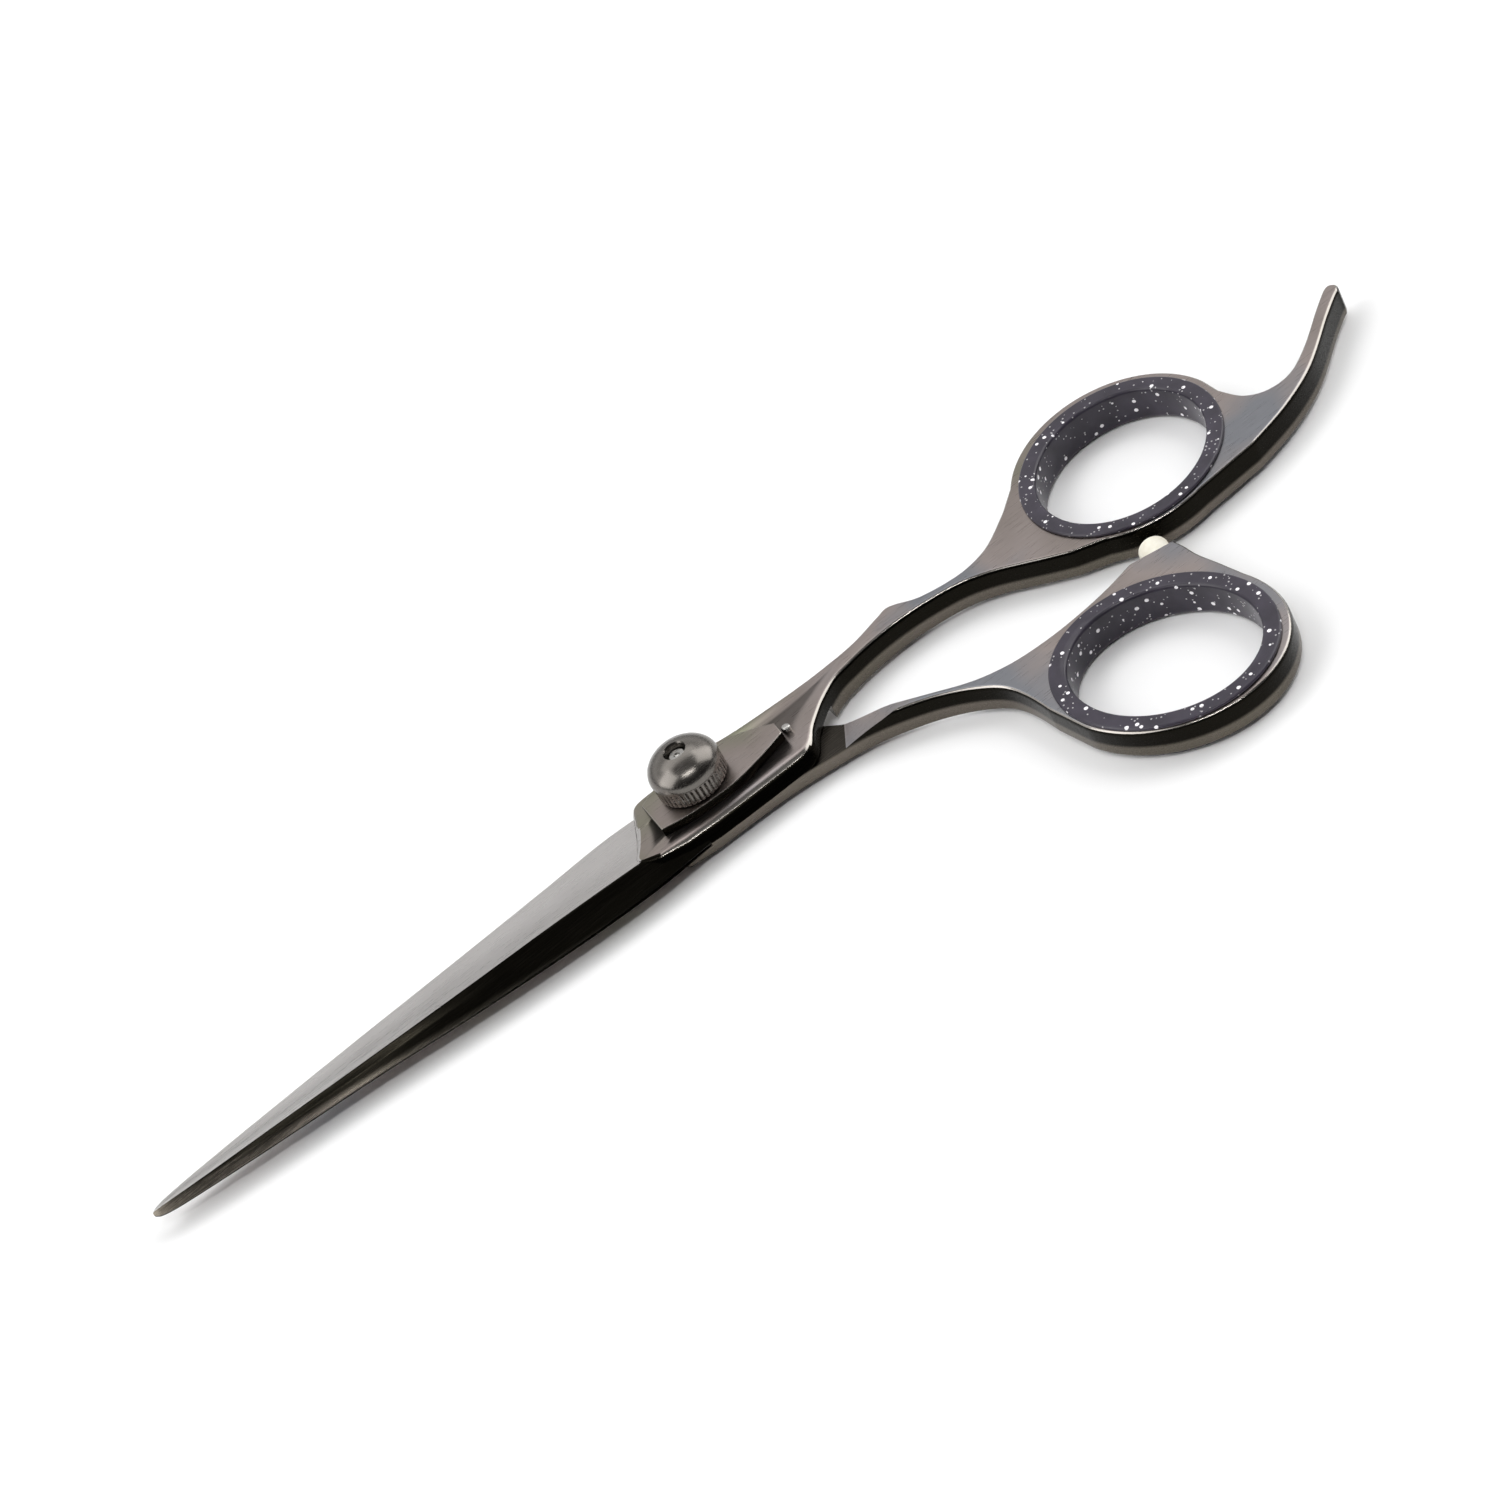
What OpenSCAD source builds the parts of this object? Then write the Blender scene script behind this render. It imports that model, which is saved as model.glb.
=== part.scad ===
// Hair cutting shears, closed, lying flat. Millimetres.
// The origin is on the pivot axis at the plane the shears lie on.
// +X runs towards the finger rings, +Y towards the finger ring side, +Z up.

/* [Blades] */
// reach of the blade tips in front of the pivot
blade_reach = 89.4; // [80:0.1:100]
// height of the plane the two blades slide on
ride_z = 3; // [2.8:0.1:3.2]
// gap left between the two blades
ride_gap = 0.2; // [0.16:0.02:0.3]
// depth of the hollow ground into each inner face
hollow = 0.18; // [0.05:0.01:0.3]

/* [Handles] */
// height of the underside of both handles
handle_z0 = 0.6; // [0.5:0.05:0.7]
// height of the top of both handles
handle_z1 = 5.2; // [4.8:0.1:5.4]
// size of the step along the handle edges
bevel = 0.4; // [0.2:0.05:0.5]
// distance behind the pivot at which the finger shank drops below the ride plane
shank_step = 20.7; // [20:0.1:23]
// distance from the pivot at which the thumb shank's ramp starts
ramp_at = 18.2; // [17.5:0.1:20]

/* [Finger holes] */
// long half-width of the finger hole
finger_a = 12.9; // [12:0.1:14]
// short half-width of the finger hole
finger_b = 12.1; // [11:0.1:13]
// long half-width of the thumb hole
thumb_a = 13.1; // [12:0.1:14]
// short half-width of the thumb hole
thumb_b = 11.1; // [10.5:0.1:12]
// width of the inserts' lips, from hole to outer edge
lip_w = 2.5; // [2.2:0.1:2.7]
// wall of the inserts inside the metal rings
insert_wall = 1.2; // [1:0.1:1.5]
// height of the inserts' top lips
insert_z1 = 5.7; // [5.5:0.05:6]

/* [Pivot] */
// radius of the pivot bolt's shank
bolt_r = 2; // [1.8:0.1:2.2]
// running clearance of the bolt in the bush
run_gap = 0.05; // [0.02:0.01:0.09]
// outer radius of the bush in the upper blade
bush_r = 2.8; // [2.6:0.1:3]
// radius of the bolt's head
head_r = 4.2; // [3.8:0.1:4.6]
// radius of the ride washer between the blades
washer_r = 5.2; // [4.8:0.1:5.4]
// radius of the bolt's thread
thread_r = 1.6; // [1.4:0.05:1.75]

/* [Tension knob] */
// thickness of the leaf-shaped plate under the knob
plate_t = 1.3; // [1:0.1:1.5]
// largest radius of the knob
knob_r = 4.9; // [4.6:0.1:5.2]
// height of the knurled skirt
skirt_h = 2.7; // [2.4:0.1:3]
// height of the knob
knob_h = 6; // [5.6:0.1:6.6]
// number of knurl grooves round the skirt
knurls = 40; // [24:1:56]
// radius of the mouth of the hole in the knob's dome
dome_hole_r = 1.75; // [1.65:0.05:2.2]

/* [Bumper] */
// radius of the bumper
bumper_r = 2.1; // [1.8:0.05:2.3]
// gap between the closed bumper and the finger ring
bumper_gap = 0.2; // [0.15:0.05:0.5]

/* [Part] */
// sub-part to show

/* [Hidden] */
upper_z = ride_z + ride_gap / 2;
lower_z = ride_z - ride_gap / 2;
upper_top = handle_z1;
lower_bot = handle_z0;
plate_z = upper_top + 0.02;
plate_top = plate_z + plate_t;
knob_z = plate_top + 0.15;
finger_c = [72.5, 1.4];
finger_turn = 50;
thumb_c = [54.4, -34.6];
thumb_turn = 126;
// the bumper's line: where it starts on the thumb ring's boss and which way it points
bumper_at = [64.7, -18.2];
bumper_dir = 76;
bumper_z = 2.75;
steel = [0.46, 0.43, 0.40];
steel_light = [0.62, 0.60, 0.58];
purple = [0.16, 0.12, 0.20];
cream = [0.90, 0.88, 0.80];
nylon = [0.85, 0.85, 0.82];
$fn = 64;

// blade stations: [place along X, edge, ridge, spine, ridge height over the ride plane, relief]
// measured on a blade whose tips reach 89.4 mm
stations = [
    [-6, 4.6, -4.7, -6.6, 2.0, 0.12],
    [-13, 5.6, -4.9, -8.9, 2.05, 0.1],
    [-25, 5.2, -4.3, -8.3, 2.1, 0.02],
    [-40, 4.6, -3.7, -6.7, 2.05, 0],
    [-55, 4.1, -2.7, -4.5, 1.85, 0],
    [-70, 3.45, -1.3, -2.9, 1.45, 0],
    [-80, 2.9, -0.3, -1.75, 1.05, 0],
    [-86, 2.4, 0.45, -0.9, 0.75, 0],
    [-88.6, 1.9, 0.9, -0.1, 0.55, 0],
    [-89.4, 1.3, 0.95, 0.6, 0.4, 0]
];
reach_k = blade_reach / 89.4;

// one coordinate of a smooth curve through four values, t from 0 to 1 between the middle two
function curve(a, b, c, d, t) =
    0.5 * ((2 * b) + (c - a) * t + (2 * a - 5 * b + 4 * c - d) * t * t
           + (3 * b - a - 3 * c + d) * t * t * t);

// an open smooth curve through a list of points, k steps between two points
function open_curve(p, k) = [
    for (i = [0 : len(p) - 2], j = [0 : (i == len(p) - 2 ? k : k - 1)])
        let (a = p[max(i - 1, 0)], b = p[i], c = p[i + 1], d = p[min(i + 2, len(p) - 1)])
            [for (n = [0 : len(b) - 1]) curve(a[n], b[n], c[n], d[n], j / k)]
];

// an oval's points from angle s to angle e; grow moves it outwards
function oval(c, a, b, turn, grow, s, e, n) = [
    for (i = [0 : n])
        let (t = s + (e - s) * i / n - turn,
             x = (a + grow) * cos(t),
             y = (b + grow) * sin(t))
            [c[0] + x * cos(turn) - y * sin(turn), c[1] + x * sin(turn) + y * cos(turn)]
];

// moves a closed anticlockwise outline inwards by d
function inset(p, d) = [
    for (i = [0 : len(p) - 1])
        let (a = p[(i + len(p) - 1) % len(p)], b = p[i], c = p[(i + 1) % len(p)],
             u = (b - a) / norm(b - a), v = (c - b) / norm(c - b),
             m = u + v, w = m / norm(m))
            b + d * [-w[1], w[0]] / max(0.5, abs(u * w))
];

// a closed skin over rings of points, all with the same count, with flat ends
module skin(rings) {
    n = len(rings[0]);
    k = len(rings);
    polyhedron(
        points = [for (r = rings, p = r) p],
        faces = concat(
            [[for (i = [0 : n - 1]) i]],
            [for (j = [0 : k - 2], i = [0 : n - 1])
                [j * n + i, (j + 1) * n + i, (j + 1) * n + (i + 1) % n, j * n + (i + 1) % n]],
            [[for (i = [0 : n - 1]) k * n - 1 - i]]));
}

// a plate whose edges are stepped back, top and bottom
module slab(p, z0, z1, c) {
    translate([0, 0, z0])
        linear_extrude(z1 - z0)
            polygon(inset(p, c));
    translate([0, 0, z0 + c])
        linear_extrude(z1 - z0 - 2 * c)
            polygon(p);
}

// a ring with an oval hole; profile is a closed loop of [distance out from the hole, height]
module oval_ring(c, a, b, turn, profile, n) {
    k = len(profile);
    polyhedron(
        points = [
            for (i = [0 : n - 1], q = profile)
                let (t = 360 * i / n,
                     x = (a + q[0]) * cos(t),
                     y = (b + q[0]) * sin(t))
                    [c[0] + x * cos(turn) - y * sin(turn), c[1] + x * sin(turn) + y * cos(turn), q[1]]
        ],
        faces = [
            for (i = [0 : n - 1], j = [0 : k - 1])
                [i * k + j, i * k + (j + 1) % k,
                 ((i + 1) % n) * k + (j + 1) % k, ((i + 1) % n) * k + j]
        ]);
}

// the tapered cutting part of the upper blade, edge on the +Y side
module upper_taper() {
    skin([
        for (s = open_curve(stations, 4))
            let (x = s[0] * reach_k, e = s[1], r = s[2], p = s[3], z = upper_z + s[5], h = ride_z + s[4],
                 d = min(hollow, s[4] / 8))
                [[x, e, z], [x, 0.3 * p + 0.7 * e, z + d], [x, 0.7 * p + 0.3 * e, z + d],
                 [x, p + d, z], [x, p, z + d],
                 [x, 0.65 * r + 0.35 * p, 0.7 * h + 0.3 * z], [x, r, h]]
    ]);
}

// the same for the lower blade: upside down, edge on the -Y side, hidden under the upper one
module lower_taper() {
    skin([
        for (s = open_curve(stations, 4))
            let (x = s[0] * reach_k, e = s[3] + 0.1, p = s[1] - 0.1, r = p - (s[2] - s[3]),
                 z = lower_z - s[5], h = ride_z - s[4], d = min(hollow, s[4] / 8))
                [[x, e, z], [x, 0.3 * p + 0.7 * e, z - d], [x, 0.7 * p + 0.3 * e, z - d],
                 [x, p - d, z], [x, p, z - d],
                 [x, 0.65 * r + 0.35 * p, 0.7 * h + 0.3 * z], [x, r, h]]
    ]);
}

// outline of the upper block, finger shank, finger ring and finger rest
finger_outline = concat(
    // upper side, from the finger rest's tip back to the pivot
    open_curve([[111.0, 1.9], [111.3, 3.3], [109.8, 3.9], [106.4, 1.4], [100.8, -3.2], [96.3, -5.9],
                [92.6, -5.9], [90.0, -3.8], [88.7, 0.2]], 4),
    oval(finger_c + [0.1, 0.5], 16.4, 15.9, finger_turn, 0, 6, 146, 18),
    open_curve([[56.0, 7.6], [51.0, 4.1], [46.8, 2.9], [43.0, 3.2], [39.3, 4.3], [36.9, 5.9],
                [35.2, 6.6], [33.2, 6.1], [28.5, 4.9], [23.6, 4.5], [18.5, 4.5], [9.8, 5.1], [5.8, 5.7]], 3),
    // hollow of the heel at the front of the block
    open_curve([[-4.4, 5.5], [-7.6, 5.0], [-8.9, 2.7], [-9.8, 0.2], [-10.9, -2.0], [-12.3, -4.2]], 3),
    [[-12.9, -6.6], [-11, -8.1], [-6, -8.4], [4, -8.4], [13.2, -8.2], [15.2, -6.6]],
    // lower side, from the block out to the finger rest
    open_curve([[16.8, -4.2], [18.6, -2.4], [20.4, -0.9], [23.2, 0.8], [25.8, 1.5], [30.0, 2.2], [34.8, 2.4],
                [39.8, 1.9], [44.6, 0.7], [48.4, -1.3], [51.6, -3.7], [54.6, -6.1], [57.4, -8.2]], 3),
    oval(finger_c + [0.1, 0.5], 16.4, 15.9, finger_turn, 0, 214, 296, 12),
    open_curve([[84.6, -13.3], [92.0, -11.2], [99.0, -7.6], [106.6, -1.4]], 4));

// outline of the lower block, thumb shank, thumb ring and the bumper's boss
thumb_outline = concat(
    oval(thumb_c + [0.3, 0.4], 16.9, 14.4, thumb_turn, 0, -167, 42, 26),
    open_curve([[67.3, -21.6], [67.4, -18.6], [66.6, -17.3], [63.2, -16.4], [60.6, -17.0], [56.8, -17.9],
                [52.4, -18.5], [46.8, -18.7], [41.6, -18.2], [37.7, -17.1], [34.6, -15.6], [30.9, -13.1],
                [27.1, -10.5], [24.1, -8.4], [20.3, -5.3], [16.4, -1.0], [11.6, 3.2]], 3),
    [[5, 5.2], [-6, 5.4], [-11.5, 5.0], [-12.4, 3.9]],
    open_curve([[-11.9, 2.4], [-10.6, 0.6], [-9.8, -1.8], [-9.0, -4.2], [-7.4, -6.9]], 3),
    open_curve([[-3, -7.5], [8, -7.8], [16.6, -9.0], [22.0, -10.3], [26.4, -12.2], [30.6, -14.6],
                [34.4, -17.7], [37.2, -21.2], [38.4, -25.2], [38.9, -30]], 3));

module finger_blade() {
    color(steel)
        difference() {
            union() {
                upper_taper();
                difference() {
                    slab(finger_outline, handle_z0, handle_z1, bevel);
                    translate([-30, -30, -1])
                        cube([30 + shank_step, 60, upper_z + 1]);
                }
            }
            // seat of the insert
            translate([0, 0, -1])
                linear_extrude(10)
                    polygon(oval(finger_c, finger_a, finger_b, finger_turn, insert_wall + 0.05, 0, 357, 119));
            // seats of the bush and of the plate's pin
            translate([0, 0, upper_z - 1])
                cylinder(r = bush_r, h = 5);
            translate([13.9, -1.5, upper_top - 1.4])
                cylinder(r = 0.7, h = 5, $fn = 32);
        }
}

module thumb_blade() {
    color(steel)
        difference() {
            union() {
                lower_taper();
                difference() {
                    slab(thumb_outline, handle_z0, handle_z1 - 0.2, bevel);
                    // flat on the ride plane, then a ramp up to the top of the handle
                    rotate([0, 0, -28])
                        translate([0, 30, 0])
                            rotate([90, 0, 0])
                                linear_extrude(60)
                                    polygon([[-40, lower_z], [ramp_at, lower_z], [ramp_at + 10, 5.1],
                                             [ramp_at + 10, 12], [-40, 12]]);
                }
            }
            // seat of the insert
            translate([0, 0, -1])
                linear_extrude(10)
                    polygon(oval(thumb_c, thumb_a, thumb_b, thumb_turn, insert_wall + 0.05, 0, 357, 119));
            // seats of the bolt, its head and the ride washer
            translate([0, 0, -1])
                cylinder(r = bolt_r + 0.02, h = 6);
            translate([0, 0, -1])
                cylinder(r = head_r + 0.05, h = lower_bot + 0.8 + 1);
            translate([0, 0, lower_z - 0.35])
                cylinder(r = washer_r + 0.05, h = 1);
            // hole for the bumper's stud
            translate([bumper_at[0], bumper_at[1], bumper_z])
                rotate([0, 0, bumper_dir])
                    rotate([0, 90, 0])
                        translate([0, 0, -1.9])
                            cylinder(r = 0.8, h = 8, $fn = 32);
            // flat end of the bumper's boss
            translate([bumper_at[0], bumper_at[1], 0])
                rotate([0, 0, bumper_dir])
                    translate([0, -4, -1])
                        cube([6, 8, 8]);
        }
}

// a finger hole insert: a soft ring with a lip above and below the metal ring
module insert(c, a, b, turn, top, metal_top) {
    oval_ring(c, a, b, turn, [
        [0, 0.9], [0.3, 0.3], [0.8, 0], [lip_w - 0.8, 0], [lip_w - 0.6, handle_z0 - 0.05],
        [insert_wall, handle_z0 - 0.05], [insert_wall, metal_top + 0.05],
        [lip_w, metal_top + 0.05], [lip_w, top - 0.35], [lip_w - 0.25, top - 0.08], [lip_w - 0.7, top],
        [1.0, top - 0.1], [0.4, top - 0.45], [0.08, top - 0.95]
    ], 90);
}

module finger_insert() {
    color(purple)
        insert(finger_c, finger_a, finger_b, finger_turn, insert_z1, handle_z1);
}

module thumb_insert() {
    color(purple)
        insert(thumb_c, thumb_a, thumb_b, thumb_turn, insert_z1 - 0.2, handle_z1 - 0.2);
}

// the leaf-shaped plate the knob presses on
module tension_plate() {
    color(steel)
        translate([0, 0, plate_z])
            difference() {
                linear_extrude(plate_t)
                    polygon(concat(
                        open_curve([[-7.5, -3.9], [-4.0, -4.7], [0, -5.2], [4.4, -5.2], [9.0, -4.2], [12.9, -2.9]], 4),
                        open_curve([[13.1, -0.4], [10.6, 1.4], [7.0, 3.4], [3.0, 4.6], [-1.0, 4.7], [-4.6, 3.9],
                                    [-7.3, 2.6]], 4)));
                translate([0, 0, -1])
                    cylinder(r = bush_r + 0.05, h = 6);
                translate([13.9, -1.5, -1])
                    cylinder(r = 0.75, h = 6, $fn = 32);
            }
}

module plate_pin() {
    color(steel_light)
        translate([13.9, -1.5, upper_top - 1.35])
            rotate_extrude($fn = 32)
                polygon([[0, 0], [0.67, 0], [0.67, 1.7], [0.45, 1.95], [0, 1.95]]);
}

module pivot_bolt() {
    color(steel_light)
        rotate_extrude()
            polygon([
                [0, 0], [head_r - 0.4, 0], [head_r, 0.4], [head_r, lower_bot + 0.75],
                [bolt_r, lower_bot + 0.75], [bolt_r, plate_top - 0.1], [thread_r, plate_top],
                [thread_r, knob_z + 4.1], [thread_r - 0.3, knob_z + 4.4], [0, knob_z + 4.4]
            ]);
}

module pivot_bush() {
    color([0.72, 0.55, 0.33])
        translate([0, 0, upper_z])
            difference() {
                cylinder(r = bush_r - 0.02, h = plate_top - 0.12 - upper_z);
                translate([0, 0, -1])
                    cylinder(r = bolt_r + run_gap, h = 9);
            }
}

module ride_washer() {
    color(nylon)
        translate([0, 0, lower_z - 0.33])
            difference() {
                cylinder(r = washer_r, h = 0.33 + ride_gap - 0.05);
                translate([0, 0, -1])
                    cylinder(r = bolt_r + 0.06, h = 3);
            }
}

// thin nylon washer the knob turns on
module slide_washer() {
    color(nylon)
        translate([0, 0, plate_top + 0.02])
            difference() {
                cylinder(r = 3.5, h = 0.3);
                translate([0, 0, -1])
                    cylinder(r = bolt_r + 0.1, h = 3);
            }
}

// wave spring inside the knob, pressing on the nylon washer
module wave_spring() {
    n = 60;
    color(steel_light)
        polyhedron(
            points = [
                for (i = [0 : n - 1], q = [[2.2, 0], [3.3, 0], [3.3, 0.22], [2.2, 0.22]])
                    let (t = 360 * i / n, w = plate_top + 0.36 + 0.22 * (1 + cos(3 * t)))
                        [q[0] * cos(t), q[0] * sin(t), w + q[1]]
            ],
            faces = [
                for (i = [0 : n - 1], j = [0 : 3])
                    [i * 4 + j, i * 4 + (j + 1) % 4,
                     ((i + 1) % n) * 4 + (j + 1) % 4, ((i + 1) % n) * 4 + j]
            ]);
}

module click_washer() {
    color(steel_light)
        translate([0, 0, plate_top + 1.06])
            difference() {
                cylinder(r = 3.45, h = 0.4);
                translate([0, 0, -1])
                    cylinder(r = thread_r + 0.05, h = 3);
            }
}

// the knurled, domed thumb nut
module thumb_nut() {
    color(steel)
        translate([0, 0, knob_z])
            difference() {
                rotate_extrude($fn = 96)
                    polygon(concat(
                        [[0, 0], [knob_r - 0.45, 0], [knob_r - 0.15, 0.25], [knob_r - 0.1, skirt_h]],
                        [for (i = [0 : 12])
                            let (t = 7.2 * i)
                                [0.2 + (knob_r - 0.2) * cos(t), skirt_h + 0.2 + (knob_h - skirt_h - 0.2) * sin(t)]],
                        [[0, knob_h]]));
                // knurl grooves
                for (i = [0 : knurls - 1])
                    rotate([0, 0, 360 * i / knurls])
                        translate([knob_r + 0.05, 0, -1])
                            rotate([0, 0, 45])
                                translate([-0.22, -0.22, 0])
                                    cube([0.44, 0.44, skirt_h + 0.8]);
                // chamber for the spring and the click washer, thread and mouth in the dome
                translate([0, 0, -1])
                    cylinder(r = 3.65, h = 2.4);
                translate([0, 0, -1])
                    cylinder(r = thread_r + 0.03, h = 12);
                translate([0, 0, knob_h - 1.5])
                    cylinder(r = dome_hole_r, h = 3);
            }
}

module bumper_frame() {
    translate([bumper_at[0], bumper_at[1], bumper_z])
        rotate([0, 0, bumper_dir])
            rotate([0, 90, 0])
                children();
}

bumper_len = 3.95 - bumper_gap;

module bumper() {
    color(cream)
        bumper_frame()
            rotate_extrude($fn = 48)
                polygon([[0.72, 0.02], [bumper_r, 0.02], [bumper_r, bumper_len - 0.7],
                         [bumper_r - 0.25, bumper_len - 0.2], [bumper_r - 0.8, bumper_len], [0, bumper_len],
                         [0, 1.6], [0.72, 1.6]]);
}

module bumper_stud() {
    color(steel_light)
        bumper_frame()
            translate([0, 0, -1.8])
                cylinder(r = 0.7, h = 3.35, $fn = 32);
}

finger_blade();
thumb_blade();
finger_insert();
thumb_insert();
tension_plate();
plate_pin();
pivot_bolt();
pivot_bush();
ride_washer();
slide_washer();
wave_spring();
click_washer();
thumb_nut();
bumper();
bumper_stud();
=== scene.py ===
import math

import bmesh
import bpy
from mathutils import Matrix, Vector


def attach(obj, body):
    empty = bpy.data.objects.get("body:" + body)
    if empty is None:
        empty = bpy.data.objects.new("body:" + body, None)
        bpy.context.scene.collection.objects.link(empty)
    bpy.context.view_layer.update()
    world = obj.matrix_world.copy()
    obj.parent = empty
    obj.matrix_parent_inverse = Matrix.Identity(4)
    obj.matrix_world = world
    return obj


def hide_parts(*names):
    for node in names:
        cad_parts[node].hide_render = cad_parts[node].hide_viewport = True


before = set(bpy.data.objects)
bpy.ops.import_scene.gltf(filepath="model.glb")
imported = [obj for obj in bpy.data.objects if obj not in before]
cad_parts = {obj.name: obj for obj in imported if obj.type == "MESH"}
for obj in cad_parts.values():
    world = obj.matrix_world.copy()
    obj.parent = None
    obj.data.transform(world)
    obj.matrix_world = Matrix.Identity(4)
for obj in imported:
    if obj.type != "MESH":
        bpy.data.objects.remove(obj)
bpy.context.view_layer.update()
MM = 0.001      # the sizes below are in mm

# ---------------------------------------------------------------- camera
# The shears' long axis is turned a little in plan, the camera looks down at them and is rolled.
ELEVATION = 38.5                    # degrees above the floor
PLAN_TURN = 8.5                     # degrees
ROLL = 32.1                         # degrees
IMAGE_PX = 1500
FOCAL_PX = 3300.0                   # focal length in pixels of the full image
PX_PER_MM = 7.45                    # scale at the aim point
AIM = Vector((9.43, 6.20, 0.0))     # the point at the image's centre, in mm
SENSOR = 36

scene = bpy.context.scene
cam_data = bpy.data.cameras.new("camera")
cam_data.sensor_width = SENSOR
cam_data.lens = SENSOR * FOCAL_PX / IMAGE_PX
cam_data.clip_start = 0.01
cam_data.clip_end = 20
cam = bpy.data.objects.new("camera", cam_data)
scene.collection.objects.link(cam)
scene.camera = cam


def plan(x, y, z=0.0):
    """A direction given in the camera's plan axes, in the frame's axes."""
    a = math.radians(-PLAN_TURN)
    return Vector((x * math.cos(a) - y * math.sin(a), x * math.sin(a) + y * math.cos(a), z))


def aim_camera():
    """Places the camera at the focal distance from the aim point."""
    e = math.radians(ELEVATION)
    back = plan(0, -math.cos(e), math.sin(e))
    right = plan(1, 0)
    up = back.cross(right)
    r = math.radians(ROLL)
    x = right * math.cos(r) - up * math.sin(r)
    y = right * math.sin(r) + up * math.cos(r)
    m = Matrix((x, y, back)).transposed().to_4x4()
    m.translation = (AIM + back * FOCAL_PX / PX_PER_MM) * MM
    cam.matrix_world = m


aim_camera()


# ---------------------------------------------------------------- materials
class Nodes:
    """A small helper for building one material's node tree."""

    def __init__(self, name):
        self.mat = bpy.data.materials.new(name)
        self.mat.use_nodes = True
        self.tree = self.mat.node_tree
        self.bsdf = self.tree.nodes["Principled BSDF"]
        self.coord = self.tree.nodes.new("ShaderNodeTexCoord").outputs["Object"]

    def node(self, kind, **values):
        n = self.tree.nodes.new(kind)
        for k, v in values.items():
            if hasattr(n, k):
                setattr(n, k, v)
            else:
                n.inputs[k.replace("_", " ")].default_value = v
        return n

    def link(self, a, b):
        self.tree.links.new(a, b)

    def set(self, **values):
        for k, v in values.items():
            self.bsdf.inputs[k.replace("_", " ")].default_value = v

    def stretched(self, x, y, z):
        """The object's coordinates scaled by axis, for grain along one direction."""
        m = self.node("ShaderNodeMapping")
        m.inputs["Scale"].default_value = (x, y, z)
        self.link(self.coord, m.inputs["Vector"])
        return m.outputs["Vector"]

    def math(self, operation, *terms):
        """A math node whose terms are sockets or numbers."""
        n = self.node("ShaderNodeMath", operation=operation)
        for socket, term in zip(n.inputs, terms):
            if isinstance(term, (int, float)):
                socket.default_value = term
            else:
                self.link(term, socket)
        return n.outputs[0]

    def mix(self, fac, a, b, blend="MIX"):
        """A colour mix; fac is a socket or a number, a is a socket, b is a socket or a colour."""
        n = self.node("ShaderNodeMix", data_type="RGBA", blend_type=blend)
        fac_in, a_in, b_in = n.inputs[0], n.inputs[6], n.inputs[7]
        if isinstance(fac, float):
            fac_in.default_value = fac
        else:
            self.link(fac, fac_in)
        self.link(a, a_in)
        if isinstance(b, tuple):
            b_in.default_value = (*b, 1)
        else:
            self.link(b, b_in)
        return n.outputs[2]

    def noise(self, scale, detail=4.0, vector=None):
        n = self.node("ShaderNodeTexNoise")
        n.inputs["Scale"].default_value = scale
        n.inputs["Detail"].default_value = detail
        self.link(vector or self.coord, n.inputs["Vector"])
        return n.outputs["Fac"]

    def ramp(self, source, stops):
        r = self.node("ShaderNodeValToRGB")
        e = r.color_ramp.elements
        while len(e) < len(stops):
            e.new(0.5)
        for el, (at, col) in zip(e, stops):
            el.position = at
            el.color = (*col, 1) if len(col) == 3 else col
        self.link(source, r.inputs["Fac"])
        return r.outputs["Color"]

    def bump(self, source, strength, distance):
        b = self.node("ShaderNodeBump")
        b.inputs["Strength"].default_value = strength
        b.inputs["Distance"].default_value = distance
        self.link(source, b.inputs["Height"])
        self.link(b.outputs["Normal"], self.bsdf.inputs["Normal"])
        return b


def coated_steel(name, tints, rough, grain):
    """Coated steel with a fine ground grain along X and slow clouds of heat tint."""
    m = Nodes(name)
    m.set(Metallic=1.0)
    cloud = m.noise(38.0, 3.0)
    step = 0.32 / (len(tints) - 1)
    color = m.ramp(cloud, [(0.34 + step * i, tint) for i, tint in enumerate(tints)])
    fine = m.noise(1.0, 6.0, m.stretched(260, 5200, 5200))
    shade = m.ramp(fine, [(0.2, (0.86,) * 3), (0.8, (1.0,) * 3)])
    color = m.mix(1.0, color, shade, "MULTIPLY")
    m.link(color, m.bsdf.inputs["Base Color"])
    r = m.ramp(fine, [(0.25, (rough * 0.78,) * 3), (0.75, (rough * 1.25,) * 3)])
    m.link(r, m.bsdf.inputs["Roughness"])
    m.bump(fine, grain, 0.00002)
    return m, color


def steel(name, tints, rough, grain):
    return coated_steel(name, tints, rough, grain)[0].mat


def walls_painted_shade_and_reflection(name, dark, pale, rough):
    """The walls' colour: nearly black above a line that drops along X as painted shade, warm and
    paler under it as a painted reflection of the floor.
    """
    m, color = coated_steel(name, pale, rough, 0.12)
    axes = m.node("ShaderNodeSeparateXYZ")
    m.link(m.coord, axes.inputs["Vector"])
    # the height where the painted shade gives way to the painted floor reflection, falling along X
    line = m.math("MAXIMUM", m.math("MULTIPLY_ADD", axes.outputs["X"], -0.010, 0.0029), 0.0017)
    fac = m.node("ShaderNodeMapRange", interpolation_type="SMOOTHSTEP")
    m.link(m.math("SUBTRACT", axes.outputs["Z"], line), fac.inputs["Value"])
    fac.inputs["From Min"].default_value = -0.0003
    fac.inputs["From Max"].default_value = 0.0004
    m.link(m.mix(fac.outputs["Result"], color, dark), m.bsdf.inputs["Base Color"])
    return m.mat


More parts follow.
